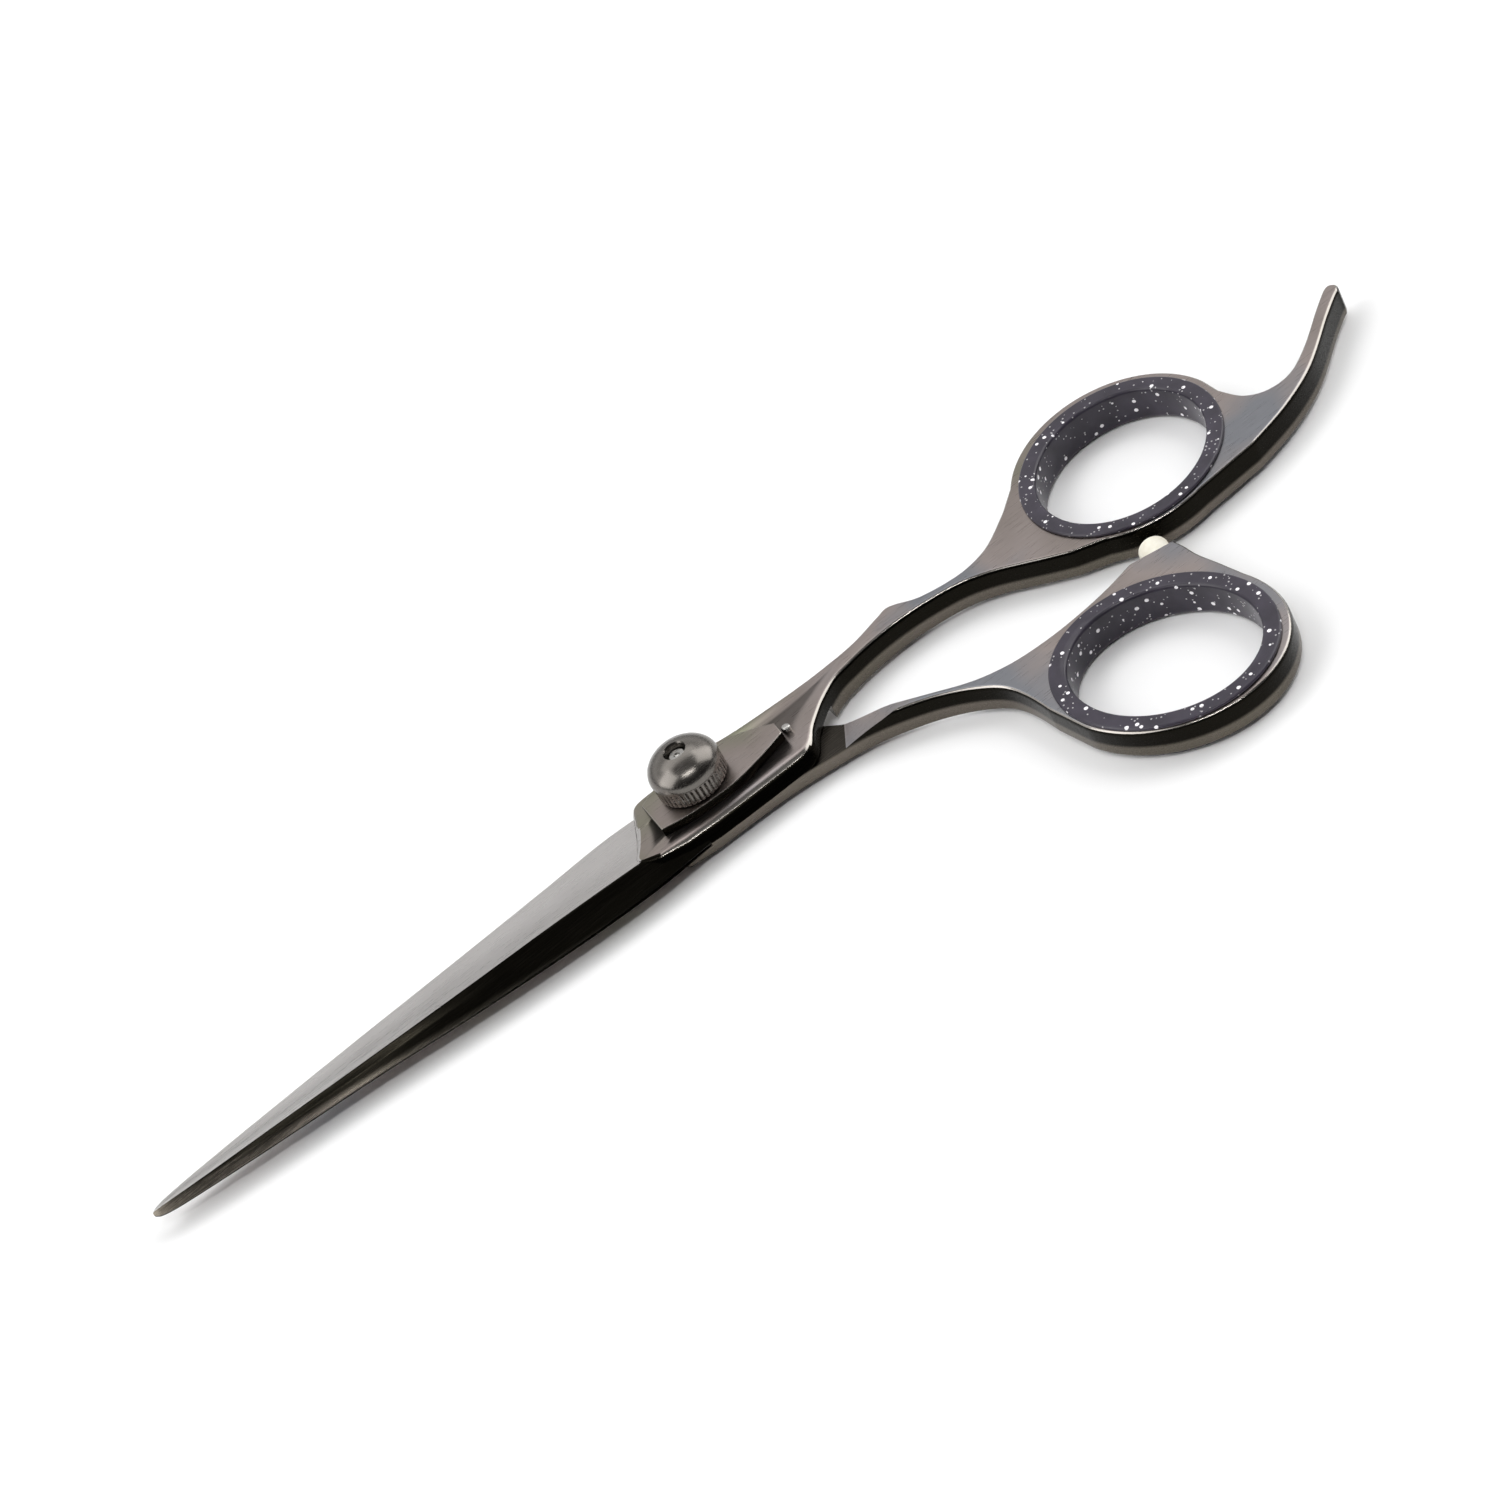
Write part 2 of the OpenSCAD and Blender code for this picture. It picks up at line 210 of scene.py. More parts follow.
def glitter():
    """Dark clear plastic with sparse silver flakes of two sizes."""
    m = Nodes("glitter_purple")
    m.set(Roughness=0.34, IOR=1.45, Specular_IOR_Level=0.35, Coat_Weight=0.25, Coat_Roughness=0.08)
    cloud = m.noise(300.0, 3.0)
    color = m.ramp(cloud, [(0.3, (0.022, 0.018, 0.028)), (0.7, (0.040, 0.033, 0.050))])
    # cells per metre, flake radius in cells, share of cells left empty, brightness
    for scale, size, empty, bright in ((850.0, 0.25, 0.70, 0.95), (1900.0, 0.24, 0.74, 0.42)):
        cells = m.node("ShaderNodeTexVoronoi")
        cells.inputs["Scale"].default_value = scale
        m.link(m.coord, cells.inputs["Vector"])
        chance = m.node("ShaderNodeSeparateColor")
        m.link(cells.outputs["Color"], chance.inputs["Color"])
        flake = m.math("MULTIPLY", m.math("LESS_THAN", cells.outputs["Distance"], size),
                       m.math("GREATER_THAN", chance.outputs["Red"], empty))
        color = m.mix(flake, color, (bright, bright * 0.97, bright))
    m.link(color, m.bsdf.inputs["Base Color"])
    m.bump(cloud, 0.15, 0.00003)
    return m.mat


def soft(name, a, b, rough, scale, depth):
    """Rubber or nylon between two tints, with a little light passing through it."""
    m = Nodes(name)
    n = m.noise(scale, 5.0)
    m.link(m.ramp(n, [(0.3, a), (0.7, b)]), m.bsdf.inputs["Base Color"])
    r = m.ramp(n, [(0.2, (rough * 0.85,) * 3), (0.8, (rough * 1.1,) * 3)])
    m.link(r, m.bsdf.inputs["Roughness"])
    m.set(Subsurface_Weight=0.08, Subsurface_Radius=(0.0006, 0.0005, 0.0004))
    m.bump(n, depth, 0.00003)
    return m.mat


STEEL_TOP = steel("steel_top", [(0.225, 0.222, 0.165), (0.285, 0.245, 0.225),
                                (0.335, 0.290, 0.275), (0.235, 0.240, 0.260)], 0.31, 0.22)
# painted shade and reflection: the walls' near-black upper part is painted shade, the paler tints
# below are a painted reflection of the floor
STEEL_SIDE_PAINTED_SHADE = walls_painted_shade_and_reflection("steel_side_painted_shade", (0.009, 0.008, 0.006),
                      [(0.125, 0.113, 0.088), (0.170, 0.148, 0.126)], 0.26)
BLADE_FACE = steel("blade_face", [(0.50, 0.48, 0.47), (0.58, 0.56, 0.55)], 0.30, 0.2)
# painted highlight: a brighter base on the top rims paints part of their highlight lines, and the
# front strip lamp's reflection gives the rest
RIM_HIGHLIGHT_STEEL = steel("steel_edge_painted_highlight", [(0.30, 0.28, 0.25), (0.38, 0.355, 0.33)], 0.20, 0.05)
KNOB_STEEL = steel("knob_steel", [(0.150, 0.142, 0.128), (0.19, 0.172, 0.160)], 0.25, 0.05)
BRIGHT = steel("bright_steel", [(0.42, 0.41, 0.39), (0.52, 0.51, 0.49)], 0.28, 0.1)
BRONZE = steel("bearing_bronze", [(0.46, 0.30, 0.14), (0.56, 0.40, 0.21)], 0.35, 0.1)
GLITTER = glitter()
CREAM = soft("cream_rubber", (0.78, 0.74, 0.62), (0.86, 0.83, 0.73), 0.5, 1500.0, 0.2)
NYLON = soft("nylon", (0.74, 0.74, 0.70), (0.82, 0.82, 0.79), 0.45, 1200.0, 0.1)

# the finishes of a blade or the plate, by material index; the walls' colour is painted shade with a
# painted floor reflection, the rims' a painted highlight
STEELS = [STEEL_TOP, STEEL_SIDE_PAINTED_SHADE, BLADE_FACE, RIM_HIGHLIGHT_STEEL]
FLAT, WALL_PAINTED_SHADE, GROUND, HIGHLIGHT_RIM = range(4)


# ---------------------------------------------------------------- geometry helpers
def smooth(points, k):
    """An open Catmull-Rom curve through points of any dimension, k steps a span."""
    out = []
    n = len(points)
    for i in range(n - 1):
        a, b, c, d = points[max(i - 1, 0)], points[i], points[i + 1], points[min(i + 2, n - 1)]
        for j in range(k):
            t = j / k
            out.append(tuple(
                0.5 * (2 * q + (r - p) * t + (2 * p - 5 * q + 4 * r - s) * t * t
                       + (3 * q - p - 3 * r + s) * t ** 3)
                for p, q, r, s in zip(a, b, c, d)))
    return out + [tuple(points[-1])]


def circle(r, n, c=(0, 0)):
    return [(c[0] + r * math.cos(2 * math.pi * t / n), c[1] + r * math.sin(2 * math.pi * t / n))
            for t in range(n)]


def oval(c, a, b, turn, start, end, n, *more):
    """An arc of a turned ellipse, from start to end degrees, with more added to each point."""
    out = []
    u = math.radians(turn)
    for i in range(n + 1):
        t = math.radians(start + (end - start) * i / n - turn)
        x, y = a * math.cos(t), b * math.sin(t)
        out.append((c[0] + x * math.cos(u) - y * math.sin(u),
                    c[1] + x * math.sin(u) + y * math.cos(u), *more))
    return out


def normals(p):
    """Inward unit normals of a closed anticlockwise outline, mitred."""
    out = []
    n = len(p)
    for i in range(n):
        a, b, c = (Vector(p[j % n][:2]) for j in (i - 1, i, i + 1))
        u, v = (b - a).normalized(), (c - b).normalized()
        w = (u + v).normalized()
        k = 1 / max(0.6, abs(u.dot(w)))
        out.append((-w.y * k, w.x * k))
    return out


def make(name, verts, faces, mats):
    """A mesh object from mm, with its normals outwards."""
    me = bpy.data.meshes.new(name)
    me.from_pydata([tuple(c * MM for c in v) for v in verts], [], faces)
    for m in mats:
        me.materials.append(m)
    bm = bmesh.new()
    bm.from_mesh(me)
    bmesh.ops.recalc_face_normals(bm, faces=bm.faces)
    bm.to_mesh(me)
    bm.free()
    o = bpy.data.objects.new(name, me)
    scene.collection.objects.link(o)
    return o


def rings_solid(name, rings, mats, closed=False):
    """A skin over rings of points; closed joins the last ring to the first instead of capping."""
    n, k = len(rings[0]), len(rings)
    verts = [v for r in rings for v in r]
    faces = []
    for j in range(k if closed else k - 1):
        a, b = j * n, ((j + 1) % k) * n
        faces += [(a + i, a + (i + 1) % n, b + (i + 1) % n, b + i) for i in range(n)]
    if not closed:
        faces += [tuple(range(n - 1, -1, -1)), tuple(range((k - 1) * n, k * n))]
    return make(name, verts, faces, mats)


def boolean(a, b, how):
    """a becomes a combined with b, with b removed."""
    m = a.modifiers.new("b", "BOOLEAN")
    m.operation, m.object, m.solver = how, b, "EXACT"
    dg = bpy.context.evaluated_depsgraph_get()
    me = bpy.data.meshes.new_from_object(a.evaluated_get(dg))
    a.modifiers.clear()
    old = a.data
    a.data = me
    bpy.data.meshes.remove(old)
    bpy.data.objects.remove(b)


def finish_mesh(o, angle=32):
    """Smooth shading that breaks at edges sharper than angle."""
    for p in o.data.polygons:
        p.use_smooth = True
    o.data.set_sharp_from_angle(angle=math.radians(angle))
    w = o.modifiers.new("weighted", "WEIGHTED_NORMAL")
    w.keep_sharp = True
    w.weight = 80


def revolve(name, profile, n, mats, radius=None):
    """Turns a closed or axis-to-axis profile of (r, z) about Z; radius(r, z, angle) may change r."""
    rings = []
    for i in range(n):
        t = 2 * math.pi * i / n
        ring = []
        for r, z in profile:
            rr = radius(r, z, t) if radius else r
            ring.append((rr * math.cos(t), rr * math.sin(t), z))
        rings.append(ring)
    o = rings_solid(name, rings, mats, closed=True)
    bm = bmesh.new()
    bm.from_mesh(o.data)
    bmesh.ops.remove_doubles(bm, verts=bm.verts, dist=1e-7)
    bmesh.ops.recalc_face_normals(bm, faces=bm.faces)
    bm.to_mesh(o.data)
    bm.free()
    return o


def slab(name, outline, z0, z1, mats):
    """A plate from an outline of (x, y, top inset): rounded below, bevelled above."""
    nrm = normals(outline)
    rings = []
    for d, z in [(0.55, z0), (0.3, z0 + 0.08), (0.08, z0 + 0.3), (0, z0 + 0.6)]:
        rings.append([(p[0] + q[0] * d, p[1] + q[1] * d, z) for p, q in zip(outline, nrm)])
    # shares of the inset and of the bevel's height
    for across, rise in ((0.0, 0.0), (0.34, 0.62), (0.5, 0.78), (0.72, 0.93), (1.0, 1.0)):
        ring = []
        for p, q in zip(outline, nrm):
            low = z1 - max(0.55, min(p[2], 2.1))
            d = p[2] * across
            ring.append((p[0] + q[0] * d, p[1] + q[1] * d, low + (z1 - low) * rise))
        rings.append(ring)
    return rings_solid(name, rings, mats)


def box(name, lo, hi):
    verts = [(x, y, z) for x in (lo[0], hi[0]) for y in (lo[1], hi[1]) for z in (lo[2], hi[2])]
    faces = [(0, 1, 3, 2), (4, 6, 7, 5), (0, 4, 5, 1), (2, 3, 7, 6), (0, 2, 6, 4), (1, 5, 7, 3)]
    return make(name, verts, faces, [])


def prism(name, outline, z0, z1):
    return rings_solid(name, [[(p[0], p[1], z) for p in outline] for z in (z0, z1)], [])


def cut(o, outline, z0=-5, z1=9):
    """Cuts a prism out of o; the heights reach well past it unless given."""
    boolean(o, prism("c", outline, z0, z1), "DIFFERENCE")


# ---------------------------------------------------------------- sizes shared with the CAD, in mm
Z0, Z1 = 0.6, 5.2                   # the finger half's underside and top
THUMB_Z1 = Z1 - 0.2                 # the thumb half's top
RIDE_HI, RIDE_LO = 3.1, 2.9         # inner faces of the upper and the lower blade
RIDE = (RIDE_HI + RIDE_LO) / 2      # the plane where the blades meet
# the finger and the thumb hole: centre, half axes, turn in degrees; then the rings around them
FINGER_C, FINGER_A, FINGER_B, FINGER_TURN = (72.5, 1.4), 12.9, 12.1, 50
THUMB_C, THUMB_A, THUMB_B, THUMB_TURN = (54.4, -34.6), 13.1, 11.1, 126
FINGER_RING = (72.6, 1.9), 16.4, 15.9
THUMB_RING = (54.7, -34.2), 16.9, 14.4
SEAT = 1.25                         # width of metal that an insert covers beyond its hole
BUSH_R = 2.85                       # the bush's bore in the upper blade
HEAD_R, HEAD_TOP = 4.3, 1.42        # the recess for the bolt's head in the lower blade
SHANK_TURN = -28                    # direction of the thumb half's shank in degrees
GRIND_START = -9.4                  # the upper blade's ground bevel lies beyond this X
LOWER_INSET = 0.1                   # the lower blade is narrower by this on each side
PLATE_Z, PLATE_TOP = 5.22, 6.52
PLATE_HOLE_R, PIN_HOLE_R = 2.86, 0.78
PIN_C = (13.9, -1.5)                # the pin that locates the plate
KNOB_Z = 6.67                       # the knob's underside
BUMPER_AT, BUMPER_Z, BUMPER_TURN = (64.7, -18.2), 2.75, 76


def sort_faces(o, ground_before=None):
    """Gives flats and the upper blade's ground bevel their own finish, walls, the spine and up-facing
    faces below the ride plane the walls' painted shade, and rims a painted highlight.
    """
    for p in o.data.polygons:
        n, c = p.normal, p.center / MM
        on_blade = ground_before is not None and c.x < ground_before and c.z > RIDE_HI + 0.02
        if on_blade and n.y > -0.04 and n.z > 0.5:
            p.material_index = GROUND
        # painted shade: the spine beside the bevel and the up-facing faces below the ride plane get
        # the dark wall colour
        elif on_blade or (n.z > 0.9 and c.z < RIDE):
            p.material_index = WALL_PAINTED_SHADE
        # rims near the top get the brighter base of the painted highlight
        elif 0.55 < n.z < 0.93 and c.z > Z1 - 0.4:
            p.material_index = HIGHLIGHT_RIM
        else:
            p.material_index = FLAT if n.z > 0.93 or n.z < -0.9 else WALL_PAINTED_SHADE


# ---------------------------------------------------------------- blades
# station: place along X, edge, ridge, spine foot, ridge height, relief under the inner face
STATIONS = smooth([
    (-3.5, 4.8, -5.75, -8.35, 2.06, 0.12), (-13, 5.7, -4.95, -8.85, 2.10, 0.08),
    (-25, 5.2, -4.25, -8.3, 2.15, 0.02), (-40, 4.6, -3.65, -6.7, 2.12, 0),
    (-55, 4.1, -2.7, -4.6, 1.9, 0), (-70, 3.45, -1.4, -2.95, 1.5, 0),
    (-80, 2.9, -0.4, -1.75, 1.1, 0), (-86, 2.4, 0.4, -0.9, 0.78, 0),
    (-88.4, 1.95, 0.8, -0.25, 0.58, 0), (-89.2, 1.5, 0.95, 0.35, 0.42, 0),
    (-89.4, 1.2, 0.95, 0.7, 0.32, 0),
], 8)


def between(a, b, t):
    return a + (b - a) * t


def taper(name, upper):
    """The cutting part of a blade; the lower one is turned over, its edge under the upper's spine."""
    rings = []
    for x, edge, ridge, spine, height, relief in STATIONS:
        hollow = min(0.18, height / 8)
        z, top = RIDE_HI + relief, RIDE + height
        if not upper:
            edge, ridge, spine = (spine + LOWER_INSET, edge - LOWER_INSET - (ridge - spine),
                                  edge - LOWER_INSET)
            z, top, hollow = RIDE_LO - relief, RIDE - height, -hollow
        rise = top - z
        # from the edge over the ground bevel, the ridge and the spine, back along the hollow face
        section = [(edge, z), (between(edge, ridge, 0.01), z + rise * 0.05)]
        section += [(between(edge, ridge, t), z + rise * (t - 0.10 * math.sin(math.pi * t)))
                    for t in (0.2, 0.4, 0.6, 0.8)]
        section += [(between(ridge, edge, 0.012), top - rise * 0.004),
                    (between(ridge, spine, 0.03), top - rise * 0.035),
                    (between(ridge, spine, 0.32), z + rise * 0.66),
                    (between(ridge, spine, 0.42), z + rise * 0.57),
                    (spine, z + hollow * 1.2), (between(spine, ridge, 0.04), z),
                    (spine * 0.7 + edge * 0.3, z + hollow), (spine * 0.3 + edge * 0.7, z + hollow)]
        rings.append([(x, y, q) for y, q in section])
    return rings_solid(name, rings, STEELS)


def build_finger_blade():
    # from the finger rest's tip around the ring, along the back, over the pivot and back
    outline = (
        smooth([(111.1, 2.2, .5), (111.3, 3.2, .5), (109.9, 3.9, .5), (106.4, 1.4, .55),
                (100.8, -3.2, .6), (96.3, -5.9, .6), (92.6, -5.9, .55), (90.0, -3.8, .5),
                (88.7, 0.2, .5)], 5)
        + oval(*FINGER_RING, FINGER_TURN, 6, 146, 36, .5)
        + smooth([(56.0, 7.6, .5), (51.0, 4.1, .6), (46.8, 2.9, .6), (43.0, 3.2, .6),
                  (39.3, 4.3, .6), (36.9, 5.9, .55), (35.2, 6.6, .5), (33.2, 6.1, .55),
                  (28.5, 4.9, .6), (23.6, 4.5, .55), (18.5, 4.5, .5), (9.8, 5.1, .4),
                  (5.8, 5.7, .35)], 5)
        + smooth([(-4.4, 5.6, .3), (-8.0, 5.3, .5), (-9.6, 2.7, 1.0), (-10.7, 0.2, 1.1),
                  (-11.8, -2.0, 1.0), (-12.6, -3.8, .7), (-12.5, -5.0, .5)], 5)
        + [(-10, -6.9, 1.1), (-6, -8.0, 1.8)]
        + smooth([(-2, -8.4, 2.15), (4, -8.5, 2.2), (10, -8.45, 2.15), (13.4, -8.2, 1.9),
                  (15.0, -7.0, 1.3), (15.9, -5.6, .9), (16.8, -4.2, .7), (18.6, -2.4, .6),
                  (20.4, -0.9, .6), (23.2, 0.8, .6), (25.8, 1.5, .6), (30.0, 2.2, .6),
                  (34.8, 2.4, .6), (39.8, 1.9, .6), (44.6, 0.7, .6), (48.4, -1.3, .6),
                  (51.6, -3.7, .6), (54.6, -6.1, .6), (57.4, -8.2, .5)], 4)
        + oval(*FINGER_RING, FINGER_TURN, 228, 280, 18, .5)
        + smooth([(84.6, -13.3, .5), (92.0, -11.2, .6), (99.0, -7.6, .6), (106.6, -1.4, .6),
                  (109.6, 0.9, .55), (110.7, 1.6, .5)], 6)
    )
    o = slab("shear_upper_blade", outline, Z0, Z1, STEELS)
    boolean(o, box("c", (-40, -30, -5), (20.7, 30, RIDE_HI)), "DIFFERENCE")
    cut(o, oval(FINGER_C, FINGER_A + SEAT, FINGER_B + SEAT, FINGER_TURN, 0, 357, 119))
    boolean(o, taper("t", True), "UNION")
    cut(o, circle(BUSH_R, 64))
    sort_faces(o, GRIND_START)
    finish_mesh(o)
    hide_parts("finger_blade")
    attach(o, "finger_half")


def build_thumb_blade():
    # around the thumb ring, over the bumper's boss, up the shank to the pivot and back
    outline = (
        oval(*THUMB_RING, THUMB_TURN, -167, 12, 44, .5)
        + smooth([(68.6, -27.6, .5), (67.8, -23.4, .5), (67.5, -19.6, .5), (66.6, -17.3, .5),
                  (63.2, -16.4, .5), (60.6, -17.0, .5), (56.8, -17.9, .5), (52.4, -18.5, .5),
                  (46.8, -18.7, .55), (41.6, -18.2, .6), (37.7, -17.1, .6), (34.6, -15.6, .6),
                  (30.9, -13.1, .6), (27.1, -10.5, .6), (24.1, -8.4, .6), (20.3, -5.3, .6),
                  (16.4, -1.0, .5), (11.6, 3.2, .5)], 5)
        + [(5, 5.2, .4), (-6, 5.4, .4), (-11.5, 5.0, .4), (-12.4, 3.9, .4)]
        + smooth([(-11.9, 2.4, .5), (-10.6, 0.6, .5), (-9.8, -1.8, .5), (-9.0, -4.2, .5),
                  (-7.4, -6.9, .4)], 4)
        + smooth([(-3, -7.5, .4), (8, -7.8, .4), (16.6, -9.0, .5), (22.0, -10.3, .6),
                  (26.4, -12.2, .6), (30.6, -14.6, .6), (34.4, -17.7, .6), (37.2, -21.2, .55),
                  (38.4, -25.2, .5), (38.9, -30, .5)], 6)
    )
    o = slab("shear_lower_blade", outline, Z0, THUMB_Z1, STEELS)
    # everything above the inner face, with a ramp up to the shank's full height
    a = math.radians(SHANK_TURN)
    ramp = [(-40, RIDE_LO), (20.2, RIDE_LO), (28.6, 5.06), (28.6, 12), (-40, 12)]
    ends = [[(u * math.cos(a) - w * math.sin(a), u * math.sin(a) + w * math.cos(a), z)
             for u, z in ramp] for w in (-30, 30)]
    boolean(o, rings_solid("c", ends, []), "DIFFERENCE")
    cut(o, oval(THUMB_C, THUMB_A + SEAT, THUMB_B + SEAT, THUMB_TURN, 0, 357, 119))
    # the flat that the bumper stands on
    b = math.radians(BUMPER_TURN)
    at, out = Vector(BUMPER_AT), Vector((math.cos(b), math.sin(b))) * 6
    side = Vector((-math.sin(b), math.cos(b))) * 4
    cut(o, [at + side, at - side, at - side + out, at + side + out])
    boolean(o, taper("t", False), "UNION")
    cut(o, circle(HEAD_R, 64), z1=HEAD_TOP)
    sort_faces(o)
    finish_mesh(o)
    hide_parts("thumb_blade")
    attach(o, "thumb_half")


# ---------------------------------------------------------------- the smaller pieces
def build_insert(name, node, body, c, a, b, turn, top, metal_top):
    """A soft ring with a rounded lip above and below the metal ring."""
    out = 2.5       # width of the lip
    profile = (
        [(0.05 + 0.75 * (1 - math.cos(t)), 0.95 * (1 - math.sin(t))) for t in (0, .35, .7, 1.05, 1.4)]
        + [(1.3, 0.0), (out - 0.55, 0.02), (out - 0.42, 0.12), (out - 0.4, 0.3),
           (out - 0.48, Z0 - 0.05), (1.2, Z0 - 0.05), (1.2, metal_top + 0.03),
           (out - 0.1, metal_top + 0.03)]
        + [(out - 0.32 + 0.32 * math.cos(t), top - 0.34 + 0.34 * math.sin(t))
           for t in (0, .4, .8, 1.2, 1.57)]
        + [(1.3, top)]
        + [(0.02 + 0.5 * (1 - math.sin(t)), top - 0.5 * (1 - math.cos(t)))
           for t in (.25, .55, .85, 1.15, 1.4, 1.57)]
    )
    u = math.radians(turn)
    rings = []
    n = 160
    for i in range(n):
        t = 2 * math.pi * i / n
        ring = []
        for d, z in profile:
            x, y = (a + d) * math.cos(t), (b + d) * math.sin(t)
            ring.append((c[0] + x * math.cos(u) - y * math.sin(u),
                         c[1] + x * math.sin(u) + y * math.cos(u), z))
        rings.append(ring)
    o = rings_solid(name, rings, [GLITTER], closed=True)
    finish_mesh(o, 50)
    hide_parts(node)
    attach(o, body)


def build_plate():
    outline = (
        smooth([(-7.5, -3.9), (-4.0, -4.75), (0, -5.2), (4.4, -5.2), (9.0, -4.2), (12.9, -2.9)], 6)
        + smooth([(13.1, -0.4), (10.6, 1.4), (7.0, 3.4), (3.0, 4.6), (-1.0, 4.7), (-4.6, 3.9),
                  (-7.3, 2.6)], 6)
    )
    nrm = normals(outline)
    rings = [[(p[0] + q[0] * d, p[1] + q[1] * d, z) for p, q in zip(outline, nrm)]
             for d, z in ((0, PLATE_Z - 0.02), (0, PLATE_TOP - 0.2), (0.04, PLATE_TOP - 0.08),
                          (0.12, PLATE_TOP - 0.02), (0.22, PLATE_TOP))]
    o = rings_solid("tension_leaf_plate", rings, STEELS)
    cut(o, circle(PLATE_HOLE_R, 64), 0, 12)
    cut(o, circle(PIN_HOLE_R, 32, PIN_C), 0, 12)
    sort_faces(o)
    finish_mesh(o)
    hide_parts("tension_plate")
    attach(o, "finger_half")


def build_knob():
    # heights are above the knob's underside
    r, skirt, top = 5.15, 2.75, 6.15
    hole, thread, recess = 1.5, 1.66, 3.66
    grooves, groove_depth, groove_width = 44, 0.20, 0.55
    dome_foot = skirt + 0.15
    dome = []
    for i in range(19):
        t = math.radians(90 * i / 18)
        dome.append(((r - 0.02) * math.cos(t), dome_foot + (top - dome_foot) * math.sin(t)))
    dome = [q for q in dome if q[0] > hole + 0.2]
    rim = dome[-1][1]
    profile = [(thread, 1.4), (thread, 4.4), (hole - 0.05, 4.45), (hole - 0.05, 5.65), (hole, 5.75),
               (hole + 0.05, rim - 0.12), (hole + 0.14, rim + 0.02)]
    profile += dome[::-1]
    profile += [(r - 0.03, skirt + 0.02), (r - 0.1, skirt - 0.06), (r - 0.1, skirt - 0.15),
                (r - 0.1, skirt - 0.3), (r - 0.11, skirt * 0.5), (r - 0.12, 0.45), (r - 0.16, 0.3),
                (r - 0.45, 0.02), (recess, 0.02), (recess, 1.4)]
    profile = [(a, b + KNOB_Z) for a, b in profile]

    def knurl(rr, z, t):
        """V grooves up the skirt, none on the dome or inside."""
        if rr < r - 0.5 or z - KNOB_Z > skirt - 0.2:
            return rr
        across = abs(t * grooves / (2 * math.pi) % 1.0 - 0.5) * 2
        return rr - groove_depth * max(0.0, 1 - across / groove_width)

    o = revolve("knurled_thumb_nut", profile, grooves * 12, [KNOB_STEEL], knurl)
    finish_mesh(o, 40)
    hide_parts("thumb_nut")
    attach(o, "knob")


def build_bolt():
    shank, thread, root, pitch = 2.0, 1.6, 1.52, 0.5
    profile = [(0, 0), (3.7, 0), (3.95, 0.04), (4.12, 0.16), (4.2, 0.4), (4.2, 1.35),
               (shank, 1.35), (shank, 6.4), (thread, 6.5)]
    z = 6.9
    while z < KNOB_Z + 4.0:
        profile += [(thread, z), (root, z + 0.1), (thread, z + 0.2)]
        z += pitch
    profile += [(a, KNOB_Z + b) for a, b in ((thread, 4.1), (1.25, 4.4), (1.25, 4.95), (1.05, 5.15),
                                             (0.45, 5.15), (0.3, 4.9), (0, 4.8))]
    o = revolve("pivot_bolt_turned", profile, 96, [BRIGHT])
    boolean(o, box("c", (-5, -0.45, -1), (5, 0.45, 0.55)), "DIFFERENCE")     # screwdriver slot
    finish_mesh(o, 30)
    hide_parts("pivot_bolt")
    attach(o, "thumb_half")


def build_pin():
    profile = [(0, 3.9), (0.67, 3.9), (0.67, 5.6), (0.6, 5.72), (0.45, 5.8), (0.2, 5.82), (0, 5.82)]
    o = revolve("plate_pin_round", profile, 48, [BRIGHT])
    o.data.transform(Matrix.Translation(Vector((*PIN_C, 0)) * MM))
    finish_mesh(o, 40)
    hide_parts("plate_pin")
    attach(o, "finger_half")


def build_bumper():
    """A cylinder with a rounded end and a bore for its stud, turned from Z to lie in the plane."""
    end = 3.75
    profile = [(0, 1.6), (0.72, 1.6), (0.72, 0.03), (1.9, 0.03), (2.03, 0.06), (2.1, 0.18),
               (2.1, end - 1.0)]
    profile += [(1.3 + 0.8 * math.cos(t), end - 0.8 + 0.8 * math.sin(t))
                for t in (.2, .5, .8, 1.1, 1.4)]
    profile += [(0.8, end), (0, end)]
    o = revolve("soft_bumper", profile, 72, [CREAM])
    turn = (Matrix.Rotation(math.radians(BUMPER_TURN), 4, "Z")
            @ Matrix.Rotation(math.radians(90), 4, "Y"))
    o.data.transform(Matrix.Translation(Vector((*BUMPER_AT, BUMPER_Z)) * MM) @ turn)
    finish_mesh(o, 45)
    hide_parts("bumper")
    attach(o, "thumb_half")


build_finger_blade()
build_thumb_blade()
build_insert("finger_hole_insert", "finger_insert", "finger_half",
             FINGER_C, FINGER_A, FINGER_B, FINGER_TURN, 5.7, Z1)
build_insert("thumb_hole_insert", "thumb_insert", "thumb_half",
             THUMB_C, THUMB_A, THUMB_B, THUMB_TURN, 5.5, THUMB_Z1)
build_plate()
build_knob()
build_bolt()
build_pin()
build_bumper()

# the CAD nodes that nothing replaces get a finish of their own
for node, mat in {"pivot_bush": BRONZE, "ride_washer": NYLON, "slide_washer": NYLON,
                  "wave_spring": BRIGHT, "click_washer": BRIGHT, "bumper_stud": BRIGHT}.items():
    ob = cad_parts[node]
    ob.data.materials.clear()
    ob.data.materials.append(mat)

# ---------------------------------------------------------------- stage and light
floor_mat = Nodes("floor")
grain = floor_mat.noise(60.0, 3.0)
floor_mat.link(floor_mat.ramp(grain, [(0.3, (0.93, 0.93, 0.93)), (0.7, (0.95, 0.95, 0.95))]),
               floor_mat.bsdf.inputs["Base Color"])
floor_mat.set(Roughness=0.9)
bpy.ops.mesh.primitive_plane_add(size=6, location=(0, 0, -0.0001))
floor = bpy.context.object
floor.name = "floor"
floor.data.materials.append(floor_mat.mat)

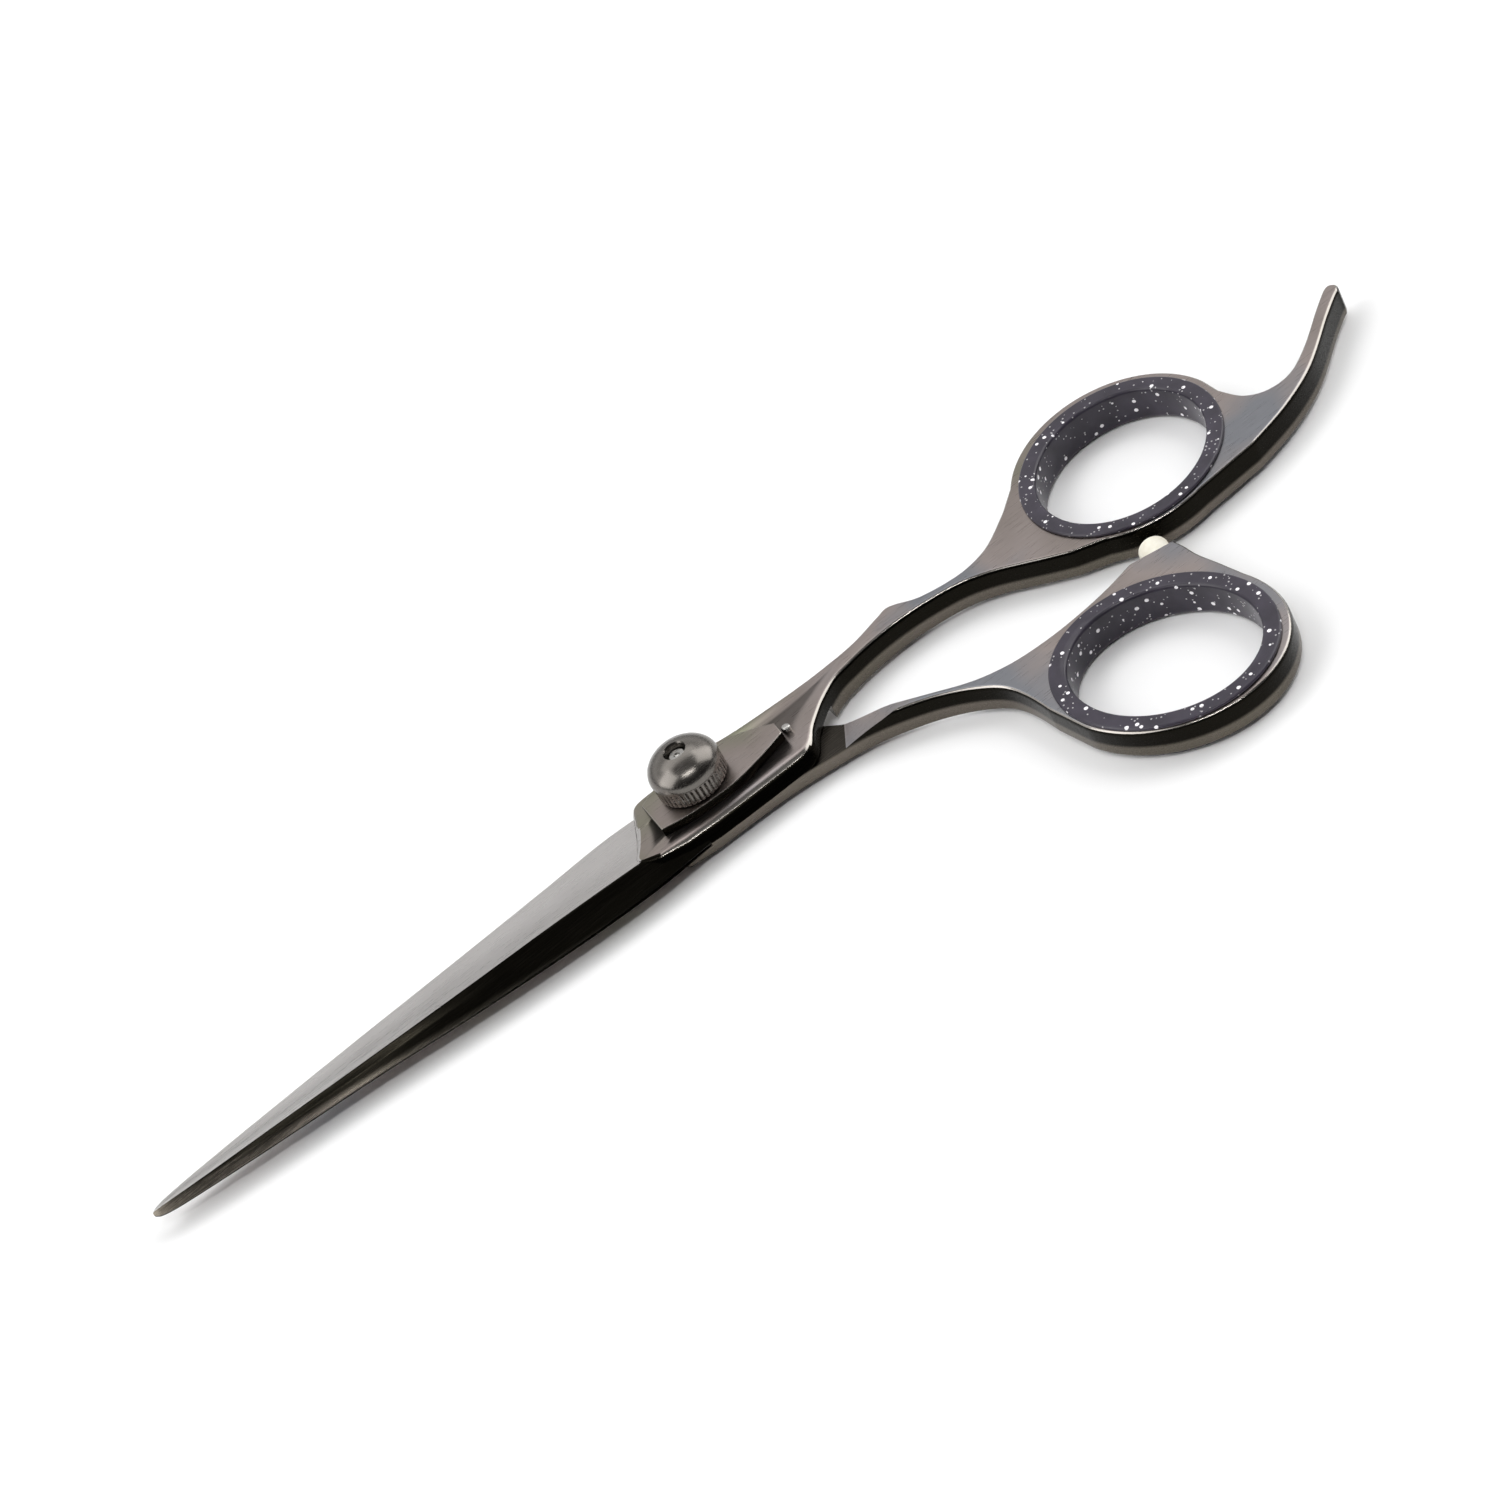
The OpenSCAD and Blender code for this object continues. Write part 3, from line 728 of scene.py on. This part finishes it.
world = bpy.data.worlds.new("studio")
scene.world = world
world.use_nodes = True
tree = world.node_tree
bg = tree.nodes["Background"]
bg.inputs["Strength"].default_value = 1.0
way = tree.nodes.new("ShaderNodeSeparateXYZ")
tree.links.new(tree.nodes.new("ShaderNodeTexCoord").outputs["Generated"], way.inputs["Vector"])


def sky(stops):
    """Grey levels by height of the direction: 0 is the horizon and below, 1 straight overhead."""
    r = tree.nodes.new("ShaderNodeValToRGB")
    e = r.color_ramp.elements
    while len(e) < len(stops):
        e.new(0.5)
    for el, (at, v) in zip(e, stops):
        el.position, el.color = at, (v, v, v, 1)
    tree.links.new(way.outputs["Z"], r.inputs["Fac"])
    return r.outputs["Color"]


# what the steel reflects: a pale wall behind the shears, a dark room in front, a dim ceiling
side = tree.nodes.new("ShaderNodeMapRange")
side.interpolation_type = "SMOOTHSTEP"
tree.links.new(way.outputs["Y"], side.inputs["Value"])
side.inputs["From Min"].default_value = -0.30
side.inputs["From Max"].default_value = 0.35
both = tree.nodes.new("ShaderNodeMix")
both.data_type = "RGBA"
tree.links.new(side.outputs["Result"], both.inputs[0])
tree.links.new(sky([(0.0, 0.05), (0.70, 0.06), (0.90, 0.10), (1.0, 0.22)]), both.inputs[6])
tree.links.new(sky([(0.0, 0.22), (0.12, 0.42), (0.33, 1.10), (0.50, 0.80), (0.62, 0.62),
                    (0.82, 0.60), (0.95, 0.25), (1.0, 0.22)]), both.inputs[7])
tree.links.new(both.outputs[2], bg.inputs["Color"])


def area(name, place, target, size, power):
    """A rectangular lamp at place, facing target; sizes in metres, power in watts."""
    d = bpy.data.lights.new(name, "AREA")
    d.shape = "RECTANGLE"
    d.size, d.size_y = size
    d.energy = power
    o = bpy.data.objects.new(name, d)
    o.location = place
    o.rotation_euler = (Vector(target) - Vector(place)).to_track_quat("-Z", "Y").to_euler()
    scene.collection.objects.link(o)


area("back_softbox", (0.0, 0.60, 1.10), (0, 0, 0), (1.6, 0.6), 4.0)
area("left_softbox", (-1.3, 0.05, 0.95), (0, 0, 0), (1.2, 1.6), 14.5)
area("right_softbox", (1.3, 0.05, 0.95), (0, 0, 0), (1.2, 1.6), 14.5)
area("front_strip", (-0.05, -0.42, 0.72), (0, 0, 0), (0.45, 0.03), 1.6)

scene.view_settings.view_transform = "Standard"
scene.view_settings.look = "None"
